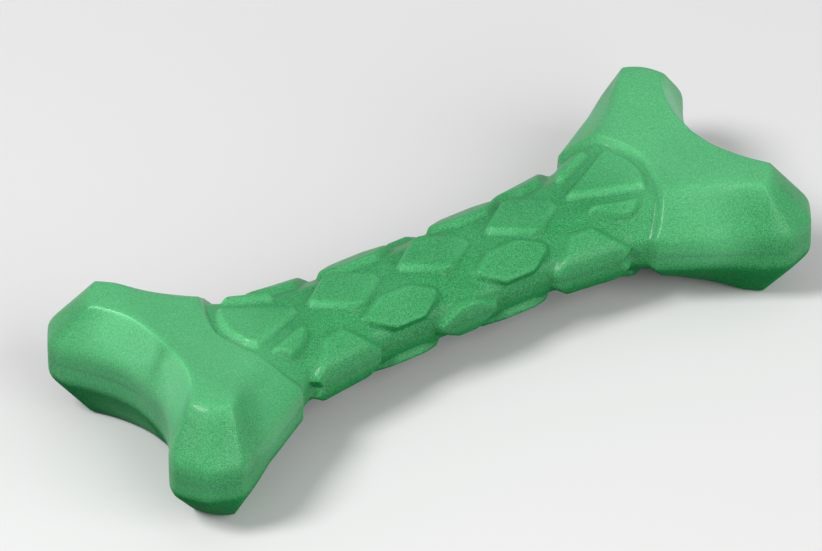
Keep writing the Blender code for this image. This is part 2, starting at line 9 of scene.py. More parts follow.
import bpy
import numpy as np
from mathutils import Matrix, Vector


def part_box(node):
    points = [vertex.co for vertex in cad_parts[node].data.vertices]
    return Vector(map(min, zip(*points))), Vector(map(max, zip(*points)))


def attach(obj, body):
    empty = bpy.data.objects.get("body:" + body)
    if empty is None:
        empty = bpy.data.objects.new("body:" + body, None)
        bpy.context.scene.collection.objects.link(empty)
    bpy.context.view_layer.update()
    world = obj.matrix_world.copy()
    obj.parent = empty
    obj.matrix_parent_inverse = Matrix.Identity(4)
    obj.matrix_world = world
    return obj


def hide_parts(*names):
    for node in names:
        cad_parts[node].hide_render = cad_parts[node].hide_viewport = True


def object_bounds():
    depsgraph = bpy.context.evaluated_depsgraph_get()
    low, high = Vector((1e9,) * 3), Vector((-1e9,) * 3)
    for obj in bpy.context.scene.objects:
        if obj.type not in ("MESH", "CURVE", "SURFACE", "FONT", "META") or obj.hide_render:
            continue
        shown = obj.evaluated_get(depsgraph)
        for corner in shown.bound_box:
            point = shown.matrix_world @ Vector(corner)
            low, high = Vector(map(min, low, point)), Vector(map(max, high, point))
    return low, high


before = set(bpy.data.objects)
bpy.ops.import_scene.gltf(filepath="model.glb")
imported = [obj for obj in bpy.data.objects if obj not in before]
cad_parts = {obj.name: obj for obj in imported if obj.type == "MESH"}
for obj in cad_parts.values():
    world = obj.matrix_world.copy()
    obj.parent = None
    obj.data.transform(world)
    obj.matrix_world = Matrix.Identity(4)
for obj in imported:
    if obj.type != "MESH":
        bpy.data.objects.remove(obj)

CAD_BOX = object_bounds()
LOW, HIGH = (np.array(corner) for corner in CAD_BOX)
LENGTH, WIDTH, HEIGHT = HIGH - LOW
MID_Z = HEIGHT / 2

# Photograph: its frame, and the camera that its perspective fits
PHOTO_WIDTH = 822
VIEW_DIRECTION = (-0.4447, -0.6557, 0.6102)
VIEW_DISTANCE = 1.874
LENS_MM = 368.8
SENSOR_MM = 36.0
CLIP_END = 20.0
OBJECT_RIGHT_PX = 21.7
OBJECT_DOWN_PX = 10.4

# Shaft: a flattened octagon in section, which flares into the hub at each end
SHAFT_WIDTH = 0.0296
SHAFT_HEIGHT = 0.0202
SHAFT_FLAT = 0.0128
SIDE_BAND = 0.0092
NECK_WIDTH = 0.0342
FLARE_START = LENGTH / 2 - 0.0610
NECK_START = LENGTH / 2 - 0.0420
HUB_START = LENGTH / 2 - 0.0246
HUB_RIDGE_RISE = 0.0035
HUB_RIDGE_SPREAD = 0.0113
FLARE_POWER = 2.5

# Arms, each with a sloping fan-shaped end beyond its crease, and the crotch between them
ARM_ANGLE = math.radians(51.5)
ARM_TOP_WIDTH = 0.0091
ARM_MID_WIDTH = 0.0182
ARM_SHOULDER = 0.0042
ARM_CORNER = 0.0076
ARM_CORNER_WIDTH = 0.0150
ARM_NOSE = 0.0102
ARM_CREASE_SLANT = 0.0018
ARM_CREASE_BOW = 0.0012
CROTCH_TOP = LENGTH / 2 - 0.0147
CROTCH_OVERHANG = 0.0049
CROTCH_FLAT = 0.0060
CROTCH_DIP = 0.0010

# Raised plates and the sunk field between them. In the corners listed here a place across the top
# is -1 on the centre line, 0 on the ridge and 1 on the side band's edge.
FIELD_DEPTH = 0.0017
PLATE_BEVEL = 0.0013
SMOOTH_END_SIDE = LENGTH / 2 - 0.0385
SMOOTH_END_TOP = LENGTH / 2 - 0.0284
SMOOTH_END_BOW = 1.3
SMOOTH_END_BEVEL = 0.0009
TOP_PLATE_PITCH = 0.0238
TOP_PLATE_LENGTH = 0.0190
TOP_PLATE_WIDTH = 0.0144
SHARP_TIP = 0.14
BLUNT_TIP = 0.3
FLANK_PLATE_X = 0.0147
FLANK_PLATE_LENGTH = 0.0200
FLANK_PLATE_SPAN = (-0.11, 1.0)
SIDE_PLATE_LENGTH = 0.0170
SIDE_PLATE_HEIGHT = 0.0104
END_SIDE_PLATE_X = LENGTH / 2 - 0.0518
END_SIDE_PLATE_LENGTH = 0.0215
END_SIDE_PLATE_HEIGHT = 0.0168
SHIELD_START = LENGTH / 2 - 0.0490
SHIELD_LENGTH = 0.0190
SHIELD_CORNERS = ((0.0, -0.88), (0.84, -0.27), (0.94, -0.55), (1.0, -0.85))
CHEEK_START = LENGTH / 2 - 0.0476
CHEEK_LENGTH = 0.0124
CHEEK_CORNERS = ((0.0, -0.08), (0.12, -0.28), (0.90, -0.10), (1.0, -0.02),
                 (0.68, 0.42), (0.34, 0.40), (0.06, 0.10))

# Hollow, arm pockets, vent under the squeaker, and the seam's gap
WALL = 0.0045
CAVITY_END = LENGTH / 2 - 0.0200
POCKET_SIZE = (0.0212, 0.0092, 0.0190)
POCKET_SETBACK = 0.0070
VENT_DIAMETER = 0.0030
VENT_STEPS = 32
SEAM_GAP = 0.00001
SQUEAKER_X = float(np.mean([corner[0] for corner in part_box("squeaker_cup")]))
SQUEAKER_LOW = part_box("squeaker_cup")[0][2]

# Places along the hub and arm count from 0 at the shaft's end. These are where the crotch starts,
# where the arm's flat starts, and the arm's crease.
CROTCH_PLACE = 2
FLAT_PLACE = 5
CREASE_PLACE = 7

# Grids: steps along and across each patch, and how far the edges are rounded. The hub's rows are
# counted for one place.
SHAFT_ROWS = 160
SMOOTH_ROWS = 30
HUB_ROWS = 9
CROTCH_ROW = CROTCH_PLACE * HUB_ROWS
TOP_COLUMNS = 36
FLANK_COLUMNS = 28
BAND_COLUMNS = 10
FAN_SIDE_ROWS = 12
HOLLOW_ROWS = 121
HOLLOW_COLUMNS = 25
SECTION_ROUNDS = 40
SECTION_FLOW = 0.25
PLATE_ROUNDING = 0.00032
ARM_ROUNDING = 0.0011
ROUNDING_ROUNDS = 60
MOST_PULL = 0.12
WELD = 1e-6
SHARP_ANGLE = math.radians(40)

# Painted light and shade in the rubber's colour, against the top: painted highlights on the bevels
# and painted light on the crotch walls, and painted shade on the sunk field, the arms' flanks and
# their sloping ends. Bevels lose their highlight at a place down the flank, the crotch wall's
# painted light is strongest at one share of its slope and fades a reach away, and the flanks and
# ends get their painted shade over the first part of the slope.
BEVEL_HIGHLIGHT = 0.30
BEVEL_HIGHLIGHT_END = 1.5
CROTCH_PAINTED_LIGHT = 0.80
CROTCH_LIGHT_MIDDLE = 0.35
CROTCH_LIGHT_REACH = 0.8
FIELD_SHADE = -0.08
FLANK_SHADE = -0.24
FLANK_SHADE_GROWTH = 2
FAN_SHADE = -0.20
FAN_SHADE_GROWTH = 3

# Rubber: its colours from least to most painted light, and what adds to or takes from that painted
# light. The painted light of the ends grows with the distance from the middle, from its start on
# and over its reach. The painted shade of facing down counts UNDER_START on an upright wall, and
# grows as the wall turns down.
DEEP_GREEN = (0.001, 0.205, 0.045)
LIT_GREEN = (0.178, 0.665, 0.310)
CLOUD_SIZE = 0.018
GRAIN_SIZE = 0.0003
LEAST_LIGHT = 0.1
FACING_LIGHT = 0.1
CLOUD_LIGHT = 0.3
END_LIGHT = 0.3
END_LIGHT_START = 0.038
END_LIGHT_REACH = 0.020
UNDER_LIGHT = -0.6
UNDER_START = 0.1
UNDER_GROWTH = 2.5
GRAIN_CONTRAST = 0.95
LIGHT_SPAN = 0.8
DEEPEST_LIGHT = 0.05

# Rubber's sheen: roughness, what the grain and the facets that face down add to it, and the coat
SHEEN_ROUGHNESS = 0.38
GRAIN_ROUGHNESS = 0.2
UNDER_ROUGHNESS = 0.6
COAT = 0.15

# Squeaker: dark and light colour, and roughness, of its case and of the reed's film
CASE_FINISH = ((0.70, 0.70, 0.66), (0.82, 0.82, 0.79), 0.40)
FILM_FINISH = ((0.52, 0.34, 0.09), (0.66, 0.46, 0.15), 0.25)
PLASTIC_CLOUD_SIZE = 0.004

# Stage: the floor shows pale, but sends little light of its own back to the rubber. A lamp has a
# name, a place, a size and a power.
FLOOR_SIZE = 8.0
FLOOR_COLOUR = (0.80, 0.80, 0.80)
FLOOR_BOUNCE = (0.05, 0.09, 0.06)
FLOOR_ROUGHNESS = 0.9
WORLD_COLOUR = (1.0, 1.0, 1.0)
WORLD_STRENGTH = 0.32
LAMPS = (("key", (-0.9, 0.1, 1.1), 0.5, 13),
         ("front", (0.25, -1.2, 0.6), 1.5, 14))


# Plan of an arm

def arm_point(along, across):
    """Crease middle, plus along times the arm's direction, plus across times its normal."""
    forward = np.array([math.cos(ARM_ANGLE), math.sin(ARM_ANGLE)])
    sideways = np.array([forward[1], -forward[0]])
    end_corner = forward * ARM_CORNER + sideways * ARM_CORNER_WIDTH / 2
    flank_corner = forward * ARM_CORNER - sideways * ARM_CORNER_WIDTH / 2
    crease = np.array([LENGTH / 2 - end_corner[0], WIDTH / 2 - flank_corner[1]])
    return crease + forward * along + sideways * across


def fan_corners():
    """The five corners round the arm's end at the band, from the crotch side to the flank."""
    return np.array([arm_point(ARM_SHOULDER, ARM_MID_WIDTH / 2),
                     arm_point(ARM_CORNER, ARM_CORNER_WIDTH / 2),
                     arm_point(ARM_NOSE, 0.0),
                     arm_point(ARM_CORNER, -ARM_CORNER_WIDTH / 2),
                     arm_point(ARM_SHOULDER, -ARM_MID_WIDTH / 2)])


def along_points(points, place):
    """Points on a polyline: place 0 is its first corner, 1 its second, and so on."""
    places = np.arange(len(points))
    return np.stack([np.interp(place, places, axis) for axis in points.T], -1)


def crotch_curve(start_x, end, place):
    """Straight across the crotch for place 0 to 1, then a parabola that bends out along the arm.

    The parabola is start (1-t)^2 + corner 2t(1-t) + end t^2, with t from 0 at place 1 to 1 at the
    arm's crease.
    """
    start = np.array([start_x, CROTCH_FLAT / 2])
    corner = np.array([start_x, end[1] - (end[0] - start_x) * math.tan(ARM_ANGLE)])
    t = np.clip((place - 1) / (CREASE_PLACE - CROTCH_PLACE - 1), 0, 1)[:, None]
    bend = start * (1 - t) ** 2 + corner * 2 * t * (1 - t) + end * t ** 2
    straight = np.array([start_x, 0.0]) + (start - [start_x, 0.0]) * np.clip(place, 0, 1)[:, None]
    return np.where(place[:, None] < 1, straight, bend)


# Section of the shaft

def flare(x):
    """Zero on the shaft and one at the hub: the share of the way, to a power."""
    return (np.maximum(0.0, x - FLARE_START) / (HUB_START - FLARE_START)) ** FLARE_POWER


def centre_height(x):
    """A parabola from the shaft's top up to the crotch."""
    rise = HEIGHT / 2 - CROTCH_DIP - SHAFT_HEIGHT / 2
    share = np.maximum(0.0, x - FLARE_START) / (CROTCH_TOP - FLARE_START)
    return SHAFT_HEIGHT / 2 + rise * share ** 2


def side_width(x):
    """Half-width at the band: straight lines from the shaft to the neck and the arm's shoulder."""
    shoulder = arm_point(ARM_SHOULDER, -ARM_MID_WIDTH / 2)
    return np.interp(x, (FLARE_START, NECK_START, shoulder[0]),
                     (SHAFT_WIDTH / 2, NECK_WIDTH / 2, shoulder[1]))


def section(x):
    """Y and Z of top centre, ridge, band's edge and mid-plane, for each x: shape (x, 4, 2)."""
    zero = np.zeros_like(x)
    side = side_width(x)
    return np.stack([np.stack([zero, centre_height(x)], -1),
                     np.stack([SHAFT_FLAT / 2 + HUB_RIDGE_SPREAD * flare(x),
                               SHAFT_HEIGHT / 2 + HUB_RIDGE_RISE * flare(x)], -1),
                     np.stack([side, zero + SIDE_BAND / 2], -1),
                     np.stack([side, zero], -1)], 1)


def inset_section(x, inset):
    """The section moved inwards by inset: each corner goes along its mitre."""
    corners = section(x)
    step = np.diff(corners, axis=1)
    step /= np.linalg.norm(step, axis=-1, keepdims=True)
    normal = np.stack([step[..., 1], -step[..., 0]], -1)
    first = normal[:, :1] * [-1, 1]
    last = normal[:, -1:] * [1, -1]
    mitre = np.concatenate([first, normal], 1) + np.concatenate([normal, last], 1)
    return corners + mitre * (2 * inset / (mitre ** 2).sum(-1, keepdims=True))


def across_section(corners, place):
    """Points on each section, for places from 0 to 3.

    Place 0 is its top centre, 1 the ridge, 2 the band's edge and 3 the mid-plane.
    """
    index = np.clip(place.astype(int), 0, 2)
    share = (place - index)[None, :, None]
    return corners[:, index] * (1 - share) + corners[:, index + 1] * share


# Plates, in the unrolled skin: x, and the distance w over the skin from the centre line

def girth(x):
    """Distance over the skin from the centre line to each of the section's corners."""
    step = np.linalg.norm(np.diff(section(x), axis=1), axis=-1)
    return np.concatenate([np.zeros((len(x), 1)), np.cumsum(step, 1)], 1)


def girth_points(x):
    """The distances of girth, as points that across_section can read."""
    return np.repeat(girth(x)[..., None], 2, -1)


def unroll(corners):
    """Turns pairs of x and place across the top, -1 to 1, into x and distance over the skin."""
    x, place = np.array(corners).T
    distances = girth(x)
    w = [np.interp(p + 1, range(4), row) for p, row in zip(place, distances)]
    return np.stack([x, w], -1)


def place_of_width(x, y):
    """Place across the top of a plan point: -1 on the centre line, 0 on the ridge."""
    corners = section(np.array([x]))[0]
    return float(np.interp(y, corners[:3, 0], (-1, 0, 1)))


def place_of_height(x, z):
    """Place across the top of a point of the side: 1 on the band's edge, 2 on the mid-plane."""
    corners = section(np.array([x]))[0]
    return float(np.interp(z, corners[:0:-1, 1], (2, 1, 0)))


def mirrored_outline(half, middle):
    """Closes half an outline by its mirror image about w = middle."""
    return np.concatenate([half, (half * [1, -1] + [0, 2 * middle])[::-1]])


def lozenge(x, length, width, tip):
    """Upper half of a lozenge with its tips cut off, as x and offset pairs from its left tip."""
    return [(x - length / 2, width / 2 * tip), (x - length / 2 * tip, width / 2),
            (x + length / 2 * tip, width / 2), (x + length / 2, width / 2 * tip)]


def top_lozenge(x):
    corners = lozenge(x, TOP_PLATE_LENGTH, TOP_PLATE_WIDTH, SHARP_TIP)
    return mirrored_outline(unroll([(px, place_of_width(abs(px), y)) for px, y in corners]), 0.0)


def side_lozenge(x, length, height, tip):
    corners = lozenge(x, length, height, tip)
    half = unroll([(px, place_of_height(abs(px), z)) for px, z in corners])
    return mirrored_outline(half, girth(np.array([0.0]))[0, -1])


def flank_plate():
    """An octagon on the flank, across FLANK_PLATE_SPAN."""
    x, reach, shoulder = FLANK_PLATE_X, FLANK_PLATE_LENGTH / 2, FLANK_PLATE_LENGTH / 5
    low, high = FLANK_PLATE_SPAN
    middle, step = (low + high) / 2, (high - low) / 9
    outer = [(shoulder, high), (reach, middle + step), (reach, middle - step), (shoulder, low)]
    corners = outer + [(-along, place) for along, place in reversed(outer)]
    return unroll([(x + along, place) for along, place in corners])


def end_plate(start, length, corners):
    return unroll([(start + length * share, place) for share, place in corners])


def plate_outlines():
    """Outlines of the plates that reach into the first quadrant."""
    shield = end_plate(SHIELD_START, SHIELD_LENGTH, SHIELD_CORNERS)
    return [top_lozenge(0.0), top_lozenge(TOP_PLATE_PITCH), mirrored_outline(shield, 0.0),
            flank_plate(), end_plate(CHEEK_START, CHEEK_LENGTH, CHEEK_CORNERS),
            side_lozenge(0.0, SIDE_PLATE_LENGTH, SIDE_PLATE_HEIGHT, BLUNT_TIP),
            side_lozenge(END_SIDE_PLATE_X, END_SIDE_PLATE_LENGTH, END_SIDE_PLATE_HEIGHT, BLUNT_TIP)]


def depth_inside(x, w, outline):
    """Distance to the outline, positive inside it.

    It is the least over the edges. A point is inside if a line from it crosses an odd number of them.
    """
    nearest = np.full(x.shape, np.inf)
    inside = np.zeros(x.shape, bool)
    for start, end in zip(outline, np.roll(outline, -1, 0)):
        edge = end - start
        dx, dw = x - start[0], w - start[1]
        share = np.clip((dx * edge[0] + dw * edge[1]) / (edge @ edge), 0, 1)
        nearest = np.minimum(nearest, np.hypot(dx - edge[0] * share, dw - edge[1] * share))
        crosses = (start[1] > w) != (end[1] > w)
        at_x = start[0] + edge[0] * (w - start[1]) / (edge[1] or 1.0)
        inside ^= crosses & (x < at_x)
    return np.where(inside, nearest, -nearest)


def smooth_end_start(place):
    """Where the smooth end starts: SMOOTH_END_TOP at place 0, SMOOTH_END_SIDE from place 2 on."""
    share = np.clip(place / 2, 0, 1) ** SMOOTH_END_BOW
    return SMOOTH_END_TOP + (SMOOTH_END_SIDE - SMOOTH_END_TOP) * share


def plate_rise(x, w):
    """1 on a plate or the smooth end, 0 on the field, with a straight bevel inside each outline."""
    rise = np.clip((x - smooth_end_start(column_places())) / SMOOTH_END_BEVEL, 0, 1)
    for outline in plate_outlines():
        rise = np.maximum(rise, np.clip(depth_inside(x, w, outline) / PLATE_BEVEL, 0, 1))
    return rise


# Patches of the skin in the first octant, as grids of points

def even_steps(marks, counts):
    """Values from each mark to the next in even steps, count by count."""
    parts = [np.linspace(start, end, count + 1)[1:]
             for start, end, count in zip(marks, marks[1:], counts)]
    return np.concatenate([marks[:1], *parts])


def column_places():
    return even_steps((0, 1, 2, 3), (TOP_COLUMNS, FLANK_COLUMNS, BAND_COLUMNS))


def softened(grid, weight):
    """Heat flow across each row, by its weight, to round the section's corners.

    The first column stays where it is, and the last one has its mirror image in z beyond it.
    """
    grid = grid.copy()
    mirror = np.array([1.0] * (grid.shape[-1] - 1) + [-1.0])
    for _ in range(SECTION_ROUNDS):
        after = np.concatenate([grid[:, 2:], grid[:, -2:-1] * mirror], 1)
        grid[:, 1:] += weight * (grid[:, :-1] + after - 2 * grid[:, 1:]) * SECTION_FLOW
    return grid


def each_column(shape, x, places):
    """A grid of the points that shape gives at the x of every row and the place of its column."""
    return np.stack([across_section(shape(column), np.array([place]))[:, 0]
                     for column, place in zip(x.T, places)], 1)


def shaft_patch():
    """From the middle to the hub, sunk along the section's mitres wherever no plate rises.

    The rows bow until one of them is the smooth end's border, and straighten again beyond it.
    """
    places = column_places()
    border = smooth_end_start(places)
    inner = np.linspace(0, 1, SHAFT_ROWS + 1)[:, None]
    outer = np.linspace(0, 1, SMOOTH_ROWS + 1)[1:, None]
    x = np.concatenate([border * inner, border + (HUB_START - border) * outer])
    skin = each_column(section, x, places)
    field = each_column(lambda column: inset_section(column, FIELD_DEPTH), x, places)
    w = each_column(girth_points, x, places)[..., 0]
    rise = plate_rise(x, w)
    skin, field = softened(skin, 1.0), softened(field, 1.0)
    # Painted highlight along the plates' bevels, fading down the flank, and painted shade on the sunk
    # field.
    bevel = 4 * rise * (1 - rise) * np.clip(BEVEL_HIGHLIGHT_END - places, 0, 1)
    painted_light_and_shade = BEVEL_HIGHLIGHT * bevel + FIELD_SHADE * (1 - rise)
    return np.concatenate([x[..., None], field + (skin - field) * rise[..., None]], -1), painted_light_and_shade


def hub_rows(place):
    """Inner edge, outer edge and flank foot of the hub and arm, at places along them.

    The inner edge runs down the centre line and then round the crotch. Both edges climb to the
    arm's flat.
    """
    crease_end = arm_point(-ARM_CREASE_SLANT, ARM_TOP_WIDTH / 2)
    crotch = crotch_curve(CROTCH_TOP, crease_end, place - CROTCH_PLACE)
    centre_x = HUB_START + (CROTCH_TOP - HUB_START) * np.clip(place / CROTCH_PLACE, 0, 1)
    before = place < CROTCH_PLACE
    inner = np.where(before[:, None], np.stack([centre_x, np.zeros_like(place)], -1), crotch)
    climb = np.clip((place - CROTCH_PLACE) / (FLAT_PLACE - CROTCH_PLACE), 0, 1)
    crotch_z = centre_height(CROTCH_TOP) + CROTCH_DIP * climb
    inner_z = np.where(before, centre_height(centre_x), crotch_z)
    ridge_y, ridge_z = section(np.array([HUB_START]))[0, 1]
    ridge = np.array([[HUB_START, ridge_y], arm_point(0.0, -ARM_TOP_WIDTH / 2)])
    outer = along_points(ridge, place / CREASE_PLACE)
    outer_z = ridge_z + (HEIGHT / 2 - ridge_z) * np.clip(place / FLAT_PLACE, 0, 1)
    side = np.array([[HUB_START, side_width(HUB_START)], fan_corners()[-1]])
    foot = along_points(side, place / CREASE_PLACE)
    return np.column_stack([inner, inner_z]), np.column_stack([outer, outer_z]), foot


def lowered(plan, z):
    return np.column_stack([plan, np.full(len(plan), z)])


def across(edges, counts):
    """A grid between lines of points: counts gives the steps from each line to the next."""
    parts = [edges[0][:, None]]
    for start, end, count in zip(edges, edges[1:], counts):
        share = np.linspace(0, 1, count + 1)[1:, None]
        parts.append(start[:, None] * (1 - share) + end[:, None] * share)
    return np.concatenate(parts, 1)


def wall_patch(top, foot):
    """From a top edge down to the band's edge, and down the band to the mid-plane."""
    edges = [top, lowered(foot, SIDE_BAND / 2), lowered(foot, 0.0)]
    return across(edges, [FLANK_COLUMNS, BAND_COLUMNS])


def wall_shares():
    """How far down the slope each column of a wall is: 1 on the band's edge, and more below it."""
    return np.arange(FLANK_COLUMNS + BAND_COLUMNS + 1) / FLANK_COLUMNS


def crease_bow(share):
    """How far the arm's crease bows out along the arm, at a share of the way across its top."""
    forward = arm_point(1.0, 0.0) - arm_point(0.0, 0.0)
    return ARM_CREASE_BOW * 4 * (share * (1 - share))[..., None] * [*forward, 0.0]


def hub_patch(place, inner, outer, foot):
    """From the shaft's end to the arm's crease, with its top, flank and band."""
    grid = across([inner, outer, lowered(foot, SIDE_BAND / 2), lowered(foot, 0.0)],
                  [TOP_COLUMNS, FLANK_COLUMNS, BAND_COLUMNS])
    grid = softened(grid, np.clip((FLAT_PLACE - place) / (FLAT_PLACE - 1), 0, 1)[:, None, None])
    near_crease = np.clip((place - FLAT_PLACE) / (CREASE_PLACE - FLAT_PLACE), 0, 1)[:, None, None]
    grid[:, :TOP_COLUMNS + 1] += near_crease * crease_bow(np.linspace(0, 1, TOP_COLUMNS + 1))
    # Painted shade on the flank and band, growing from the shaft's end to the arm's flat.
    slope = np.clip(wall_shares() * FLANK_SHADE_GROWTH, 0, 1)
    flank = np.concatenate([np.zeros(TOP_COLUMNS), slope])
    return grid, FLANK_SHADE * np.clip(place / FLAT_PLACE, 0, 1)[:, None] * flank


def crotch_patch(place, top):
    """The wall round half the crotch, from the middle out along the arm's inner side."""
    grid = wall_patch(top, crotch_curve(CROTCH_TOP + CROTCH_OVERHANG, fan_corners()[0], place))
    # Painted light on the crotch wall, strongest midway round it and part way down its slope.
    bulge = np.sin(math.pi * np.linspace(0, 1, len(grid)))[:, None]
    slope = np.clip(1 - abs(wall_shares() - CROTCH_LIGHT_MIDDLE) / CROTCH_LIGHT_REACH, 0, 1)
    return grid, CROTCH_PAINTED_LIGHT * bulge * slope


def arm_end_patch(inner, outer):
    """Round the arm's end: its inner side, the sloping fan beyond the crease, and its flank."""
    turn = even_steps((0, 1, 3, 4), (FAN_SIDE_ROWS, TOP_COLUMNS, FAN_SIDE_ROWS))
    share = np.clip((turn - 1) / 2, 0, 1)
    crease = inner + (outer - inner) * share[:, None] + crease_bow(share)
    grid = wall_patch(crease, along_points(fan_corners(), turn))
    # Painted shade on the arm's end below its crease, growing from the crotch side.
    slope = np.clip(wall_shares() * FAN_SHADE_GROWTH, 0, 1)
    return grid, FAN_SHADE * np.clip(turn, 0, 1)[:, None] * slope


def octant_patches():
    """Each patch's grid, and the painted light and shade of the rubber at its points."""
    place = np.linspace(0, CREASE_PLACE, CREASE_PLACE * HUB_ROWS + 1)
    inner, outer, foot = hub_rows(place)
    crotch = crotch_patch(place[CROTCH_ROW:] - CROTCH_PLACE, inner[CROTCH_ROW:])
    arm_end = arm_end_patch(inner[-1], outer[-1])
    return {"shaft": shaft_patch(), "hub": hub_patch(place, inner, outer, foot),
            "crotch": [part[::-1] for part in crotch], "arm_end": [part[::-1] for part in arm_end]}


# Meshes

def grid_quads(number):
    """Corner numbers of the quads of a grid of point numbers."""
    corners = [number[:-1, :-1], number[1:, :-1], number[1:, 1:], number[:-1, 1:]]
    return np.stack(corners, -1).reshape(-1, 4)


def numbered(grids):
    """All the grids' points in one list, and each grid's point numbers in it."""
    ends = np.cumsum([0] + [grid[..., 0].size for grid in grids])
    numbers = [np.arange(first, last).reshape(grid.shape[:2])
               for grid, first, last in zip(grids, ends, ends[1:])]
    return np.concatenate([grid.reshape(-1, 3) for grid in grids]), numbers


def welded(points):
    """Points without doubles, and the new number of each old one."""
    _, first, number = np.unique(np.round(points / WELD).astype(np.int64), axis=0,
                                 return_index=True, return_inverse=True)
    return points[first], number.ravel()


def rounded(points, quads):
    """Heat flow over the mesh: each round moves a point towards its neighbours.

    A neighbour's pull is the flow per round over the square of its distance, so that edges are
    rounded by the same distance however fine the grid is there. That distance grows from the
    plates to the arms.
    """
    sides = np.concatenate([quads[:, [0, 1]], quads[:, [1, 2]], quads[:, [2, 3]], quads[:, [3, 0]]])
    sides = np.unique(np.sort(sides, 1), axis=0)
    one, two = sides[sides[:, 0] != sides[:, 1]].T
    middle = abs(points[one, 0] + points[two, 0]) / 2
    distance = np.interp(middle, (SMOOTH_END_TOP, HUB_START), (PLATE_ROUNDING, ARM_ROUNDING))
    flow = distance ** 2 / ROUNDING_ROUNDS / 2
    pull = np.minimum(flow / ((points[one] - points[two]) ** 2).sum(1), MOST_PULL)
    for _ in range(ROUNDING_ROUNDS):
        step = (points[two] - points[one]) * pull[:, None]
        points = points + np.stack([np.bincount(one, step[:, axis], len(points))
                                    - np.bincount(two, step[:, axis], len(points))
                                    for axis in range(3)], -1)
    return points


def triangles_of(quads):
    """Quads as two triangles each, without the ones that have shrunk to a line."""
    triangles = np.concatenate([quads[:, [0, 1, 2]], quads[:, [0, 2, 3]]])
    a, b, c = triangles.T
    return triangles[(a != b) & (b != c) & (c != a)]


def facing(points, triangles, up):
    """Turns flat triangles so that they all face up, or all down."""
    a, b, c = (points[triangles[:, corner]] for corner in range(3))
    turned = (np.cross(b - a, c - a)[:, 2] > 0) != up
    return np.where(turned[:, None], triangles[:, ::-1], triangles)


def link(thing):
    bpy.context.scene.collection.objects.link(thing)
    return thing


def add_object(name, points, triangles, painted_light_and_shade=None):
    """A mesh object, with the painted light and shade at each point as an attribute if it is given.
    """
    used, number = np.unique(triangles, return_inverse=True)
    mesh = bpy.data.meshes.new(name)
    mesh.vertices.add(len(used))
    mesh.vertices.foreach_set("co", (points[used] + [0, 0, MID_Z]).astype(np.float32).ravel())
    mesh.loops.add(triangles.size)
    mesh.loops.foreach_set("vertex_index", number.astype(np.int32).ravel())
    mesh.polygons.add(len(triangles))
    mesh.polygons.foreach_set("loop_start", np.arange(0, triangles.size, 3, dtype=np.int32))
    mesh.update(calc_edges=True)
    if painted_light_and_shade is not None:
        values = painted_light_and_shade[used].astype(np.float32)
        mesh.attributes.new("painted_light_and_shade", "FLOAT", "POINT").data.foreach_set("value", values)
    return link(bpy.data.objects.new(name, mesh))


def cut(thing, hollow):
    """Cuts a closed object out of thing's own mesh, and removes that object."""
    modifier = thing.modifiers.new("cut", "BOOLEAN")
    modifier.operation = "DIFFERENCE"
    modifier.solver = "MANIFOLD"
    modifier.object = hollow
    bpy.context.view_layer.update()
    result = thing.evaluated_get(bpy.context.evaluated_depsgraph_get())
    mesh = bpy.data.meshes.new_from_object(result)
    thing.modifiers.clear()
    thing.data = mesh
    bpy.data.objects.remove(hollow)


# Shells

class Skin:
    """The rounded outer skin of the whole bone, its painted light and shade, and how a half of it
    closes.
    """

    def __init__(self):
        patches = octant_patches()
        octant, grids = numbered([grid for grid, _ in patches.values()])
        copies = [(x, y, z) for x in (1, -1) for y in (1, -1) for z in (1, -1)]
        points, number = welded(np.concatenate([octant * signs for signs in copies]))
        self.number = dict(zip(copies, number.reshape(len(copies), len(octant))))
        self.grids = dict(zip(patches, grids))
        quads = np.concatenate([grid_quads(grid) for grid in grids])
        self.sides = {side: np.concatenate([self.number[signs][quads][:, ::np.prod(signs)]
                                            for signs in copies if signs[2] == side])
                      for side in (1, -1)}
        self.points = rounded(points, np.concatenate(list(self.sides.values())))
        self.painted_light_and_shade = np.zeros(len(points))
        self.painted_light_and_shade[number] = np.tile(np.concatenate([painted_light_and_shade.ravel() for _, painted_light_and_shade in patches.values()]),
                                    len(copies))

    def foot(self, patch, x_side, y_side):
        """Numbers of a patch's last column, which lies on the mid-plane."""
        return self.number[x_side, y_side, 1][self.grids[patch][:, -1]]

    def cap(self):
        """Flat triangles that close a half: rungs between the outline's two sides.

        The rungs run across the shaft, from the flank to the crotch, and across an arm's end.
        """
        quads = []
        for x_side in (1, -1):
            for y_side in (1, -1):
                hub = self.foot("hub", x_side, y_side)
                crotch = self.foot("crotch", x_side, y_side)[::-1]
                end = self.foot("arm_end", x_side, y_side)
                half = len(end) // 2 + 1
                ladders = [(hub[CROTCH_ROW:], crotch), (end[:half], end[::-1][:half])]
                quads += [grid_quads(np.stack(ladder, 1)) for ladder in ladders]
            near, far = (np.concatenate([self.foot("shaft", x_side, y_side),
                                         self.foot("hub", x_side, y_side)[:CROTCH_ROW + 1]])
                         for y_side in (1, -1))
            middle = self.foot("crotch", x_side, 1)[-1]
            quads.append(grid_quads(np.stack([near, far], 1)))
            quads.append(np.array([[near[-1], middle, middle, far[-1]]]))
        return triangles_of(np.concatenate(quads))

    def half(self, name, side):
        """One closed half, held back from the mid-plane by half the seam's gap."""
        triangles = np.concatenate([triangles_of(self.sides[side]),
                                    facing(self.points, self.cap(), up=side < 0)])
        height = np.maximum(self.points[:, 2] * side, SEAM_GAP / 2) * side
        return add_object(name, np.column_stack([self.points[:, :2], height]), triangles, self.painted_light_and_shade)


def closed_ring(quarter):
    """The four mirror images of a quarter section, in order round X, with its ends joined."""
    ring = np.concatenate([quarter, quarter[:, ::-1] * [1, 1, -1]], 1)
    return np.concatenate([ring, ring[:, ::-1] * [1, -1, 1]], 1)


